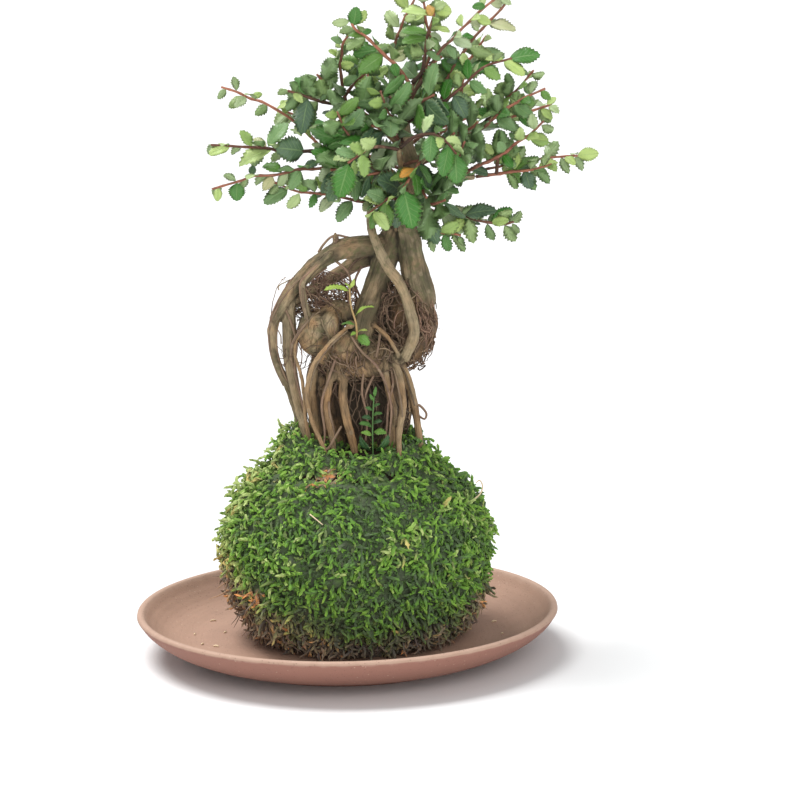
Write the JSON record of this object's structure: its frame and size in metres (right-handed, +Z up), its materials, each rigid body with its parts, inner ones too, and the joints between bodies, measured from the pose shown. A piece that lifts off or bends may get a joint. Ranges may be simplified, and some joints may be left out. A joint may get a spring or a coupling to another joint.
{
  "type": "kokedama plant",
  "caption": "Moss ball plant: a small elm with bared, knotted roots growing from a moss-wrapped ball of soil that stands on a shallow clay saucer.",
  "frame": {"origin": "centre of the underside of the saucer's foot", "axes": "+Z up along the plant, -Y towards the viewer of the picture, +X to the right"},
  "size_m": [0.2, 0.18, 0.284],
  "materials": {
    "clay": "matte",
    "moss": "matte",
    "soil": "matte",
    "bark": "matte",
    "leaf": "satin",
    "young_leaf": "satin"
  },
  "bodies": {
    "root": {"saucer": "clay", "moss_skin": "moss", "soil_heart": "soil", "trunk_and_roots": "bark", "root_shoot": "young_leaf", "seedling": "leaf", "leafy_twig_left_long": "leaf", "leafy_twig_left_middle": "leaf", "leafy_twig_left_up": "leaf", "leafy_twig_left_low": "leaf", "leafy_twig_left_bottom": "leaf", "leafy_twig_up_left": "leaf", "leafy_twig_up_left_rise": "leaf", "leafy_twig_centre_up": "leaf", "leafy_twig_centre_back": "leaf", "leafy_twig_centre_left": "leaf", "leafy_twig_right_up_front": "leaf", "leafy_twig_right_up_middle": "leaf", "leafy_twig_right_up_back": "leaf", "leafy_twig_right_arc": "leaf", "leafy_twig_right_one": "leaf", "leafy_twig_right_two": "leaf", "leafy_twig_right_three": "leaf", "leafy_twig_right_four": "leaf", "leafy_twig_right_five": "leaf", "leafy_twig_right_far": "leaf", "leafy_twig_right_low": "leaf", "leafy_twig_right_low_under": "leaf", "leafy_twig_right_low_small": "leaf", "leafy_twig_front_left": "leaf", "leafy_twig_front_right": "leaf", "leafy_twig_front_low": "leaf", "leafy_twig_front_down": "leaf", "leafy_twig_stem_top": "leaf", "leafy_twig_back_left": "leaf", "leafy_twig_back_right": "leaf", "leafy_twig_back_middle": "leaf", "leafy_twig_back_low": "leaf", "leafy_twig_back_top": "leaf", "leafy_twig_back_high": "leaf", "leafy_twig_inner_left": "leaf", "leafy_twig_inner_middle": "leaf", "leafy_twig_inner_right": "leaf"}
  },
  "joints": []
}
